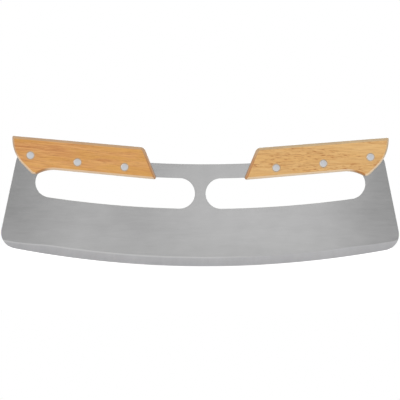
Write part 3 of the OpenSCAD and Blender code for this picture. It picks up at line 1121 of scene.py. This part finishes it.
# A run of four is two places along the edge and the value at each. The places are lengths from the edge's
# middle, less than 0 on the left.
bladeFinish = {
    "flat": srgb(145, 145, 145),
    # Painted light: the flat is painted lighter low down, towards the bevel
    "flatPaintedLight": srgb(151, 151, 151),
    "paintedLightHeight": 30,        # height over which the flat is painted lighter towards the bevel
    "bevel": srgb(169, 169, 171),
    "edge": srgb(163, 163, 165),
    # A painted highlight along the bevel's shoulder
    "line": srgb(192, 192, 192),
    "highlightWidth": 2,
    "highlightFades": (0, 70, 0.6, 0.1),     # strength of the painted highlight along the shoulder
    "endShade": (110, 175, 1.0, 0.93),  # the steel grows darker towards both ends
    "bevelShades": [(-45, -110, 1.0, 0.955), (130, 160, 1.0, 0.965)],  # and the bevel a little more
    "shadow": (105, 165, 0.0, 0.065),   # the flat darkens over the bevel at the right end
    "shadowHeight": 5,
    "contrast": 0.26,
    "roughness": 0.125,
    "bevelRoughness": 0.24,
    "wallRoughness": 0.42,  # of the cut walls and their broken edges
    "wallFacing": (0.95, 0.6),  # how squarely it looks to the front where the wall begins and where it's full
    "bump": (0.3, 0.01),
}


def makeBladeSteel():
    values, shape = bladeFinish, bladeShape
    material, tree, shader = newMaterial("satinSteel", {"Metallic": 1.0})
    place, normal = objectSpace(tree)
    centre = (0.0, 0.0, float(bladeCentre["rocker"][1]))
    ray = vectors(tree, "SUBTRACT", stretched(tree, place, (1.0, 0.0, 1.0)), centre)
    radius = vectors(tree, "LENGTH", ray)
    x, _, z = axes(tree, ray)
    along = times(tree, maths(tree, "ARCTAN2", x, times(tree, z, -1.0)), float(shape["rocker"]))
    # How far a point lies past the bevel's line, towards the edge
    near, far = shape["fallRun"]
    start = shape["rocker"] - shape["bevel"]
    for sign, fall in zip(sides.values(), shape["bevelFalls"].values()):
        start = plus(tree, between(tree, along, sign * near, sign * far, 0.0, fall), start)
    past = minus(tree, radius, start)
    half = values["highlightWidth"] / 2
    bevel = between(tree, past, -half / 2, half / 2)
    # The painted highlight along the shoulder, fading towards the right end
    line = times(tree, between(tree, past, -half, 0.0), between(tree, past, half, 0.0))
    line = times(tree, line, between(tree, along, *values["highlightFades"]))
    # The flat is brushed along the knife, and the bevel is ground from the shoulder to the edge
    across = combined(tree, radius, along)
    # Painted light: the flat grows lighter towards the bevel
    paintedLightShare = between(tree, past, -values["paintedLightHeight"], 0.0)
    flatColour = mixed(tree, paintedLightShare, values["flat"], values["flatPaintedLight"])
    edgeShare = between(tree, past, 0.0, shape["bevel"])
    groundColour = mixed(tree, edgeShare, values["bevel"], values["edge"])
    flat = brushed(tree, place, flatColour, values["roughness"], values["contrast"])
    ground = brushed(tree, across, groundColour, values["bevelRoughness"], values["contrast"])
    colour = mixed(tree, line, mixed(tree, bevel, flat["Colour"], ground["Colour"]), values["line"])
    roughness = mixedValue(tree, bevel, flat["Roughness"], ground["Roughness"])
    height = mixedValue(tree, bevel, flat["Height"], ground["Height"])
    # Broad shades: both ends, the bevel's ends and the soft shadow over the bevel on the right
    bevelShade = 1.0
    for run in values["bevelShades"]:
        bevelShade = times(tree, between(tree, along, *run), bevelShade)
    bevelShade = mixedValue(tree, maths(tree, "MAXIMUM", bevel, line), 1.0, bevelShade)
    shadow = times(tree, between(tree, past, -values["shadowHeight"], -half), between(tree, past, 0.0, -half))
    shadow = times(tree, shadow, between(tree, along, *values["shadow"]))
    shade = times(tree, between(tree, maths(tree, "ABSOLUTE", along), *values["endShade"]), bevelShade)
    shade = times(tree, shade, minus(tree, 1.0, shadow))
    # The cut walls face along the plate, so the part of their normal across it is small
    facing = maths(tree, "ABSOLUTE", axes(tree, normal)[1])
    roughness = mixedValue(tree, between(tree, facing, *values["wallFacing"]), roughness,
                           values["wallRoughness"])
    linkSurface(tree, shader, shaded(tree, colour, shade), roughness, height, values["bump"])
    return material


rivetFinish = {
    "colour": srgb(183, 184, 187),
    # A painted warm reflection of the wood on the head's rim
    "rim": srgb(196, 184, 168),
    "reflectionWidth": 1.2,
    "reflectionStrength": 0.7,
    "contrast": 0.12,
    "roughness": 0.3,
    "bump": (0.4, 0.01),
}


def makeRivetSteel():
    values = rivetFinish
    material, tree, shader = newMaterial("turnedSteel", {"Metallic": 1.0})
    along = axes(tree, addNode(tree, "UVMap", uv_map="surface").outputs[0])[1]
    # Turned marks: rings about the head's middle
    rings = combined(tree, 0.0, along)
    metal = brushed(tree, rings, values["colour"], values["roughness"], values["contrast"])
    radius = rivetShape["headRadius"]
    # A painted warm reflection towards the head's rim
    rim = times(tree, between(tree, along, radius - values["reflectionWidth"], radius), values["reflectionStrength"])
    colour = mixed(tree, rim, metal["Colour"], values["rim"])
    linkSurface(tree, shader, colour, metal["Roughness"], metal["Height"], values["bump"])
    return material


def paint(piece, material):
    piece.data.materials.clear()
    piece.data.materials.append(material)


makeBrushGroup()
makeWoodGroup()
makeEdgeLightGroup()
makeRivetShadeGroup()
paint(blade, makeBladeSteel())
rivetSteel = makeRivetSteel()
for rivet in rivets:
    paint(rivet, rivetSteel)
for side, (grip, slope, innerEnd) in grips.items():
    paint(grip, makeWood(side, slope, innerEnd))
print("materials made")


# Floor, world and lamps

studio = {
    "floorSize": 2400,
    "floorColour": srgb(232, 232, 232),
    "floorGlow": 0.63,      # what the floor adds for the camera and for mirrors
    "world": 0.55,          # level of the world for everything but the camera and mirrors
    "lamps": {
        # place, aim, width and height, and power in watts
        "front": {"place": (108, -3600, -15), "aim": (108, 0, -15), "size": (370, 450), "power": 0.46},
        "side": {"place": (-228, -3600, -15), "aim": (-228, 0, -15), "size": (120, 450), "power": 0.15},
        "left": {"place": (-1500, -1700, 500), "aim": (0, 0, 60), "size": (1200, 900), "power": 18.0},
        "right": {"place": (1600, -1500, 400), "aim": (0, 0, 60), "size": (1200, 900), "power": 12.0},
        "back": {"place": (300, 2200, 900), "aim": (0, 0, 60), "size": (1500, 900), "power": 16.0},
    },
}


# 1 for rays from the camera, off shiny surfaces and through clear ones, and 0 for the rest
def seenDirectly(tree):
    path = addNode(tree, "LightPath").outputs
    seen = maths(tree, "MAXIMUM", path["Is Camera Ray"], path["Is Glossy Ray"])
    return maths(tree, "MAXIMUM", seen, path["Is Transmission Ray"])


def emptyTree(owner):
    owner.use_nodes = True
    owner.node_tree.nodes.clear()
    return owner.node_tree


def makeFloor():
    half = studio["floorSize"] / 2
    corners = [(-half, -half, 0), (half, -half, 0), (half, half, 0), (-half, half, 0)]
    floor = addMesh("studioFloor", corners, [(0, 1, 2, 3)])
    material = bpy.data.materials.new("paleFloor")
    tree = emptyTree(material)
    diffuse = addNode(tree, "BsdfDiffuse", {"Color": studio["floorColour"]})
    glow = times(tree, seenDirectly(tree), studio["floorGlow"])
    emission = addNode(tree, "Emission", {"Strength": glow})
    both = addNode(tree, "AddShader", {0: diffuse.outputs[0], 1: emission.outputs[0]})
    addNode(tree, "OutputMaterial", {"Surface": both.outputs[0]})
    paint(floor, material)


def makeWorld():
    world = bpy.data.worlds.new("studioWorld")
    bpy.context.scene.world = world
    tree = emptyTree(world)
    level = mixedValue(tree, seenDirectly(tree), studio["world"], 1.0)
    background = addNode(tree, "Background", {"Color": (1, 1, 1, 1), "Strength": level})
    addNode(tree, "OutputWorld", {"Surface": background.outputs[0]})


def makeLamps():
    for name, values in studio["lamps"].items():
        lamp = bpy.data.lights.new(f"{name}Lamp", "AREA")
        lamp.shape = "RECTANGLE"
        lamp.size, lamp.size_y = (length * mm for length in values["size"])
        lamp.energy = values["power"]
        holder = linkNew(f"{name}Lamp", lamp)
        place, aim = Vector(values["place"]) * mm, Vector(values["aim"]) * mm
        turn = (aim - place).to_track_quat("-Z", "Y").to_matrix().to_4x4()
        holder.matrix_world = Matrix.Translation(place) @ turn


makeFloor()
makeWorld()
makeLamps()
bpy.context.scene.view_settings.view_transform = "Standard"
print("studio lit")
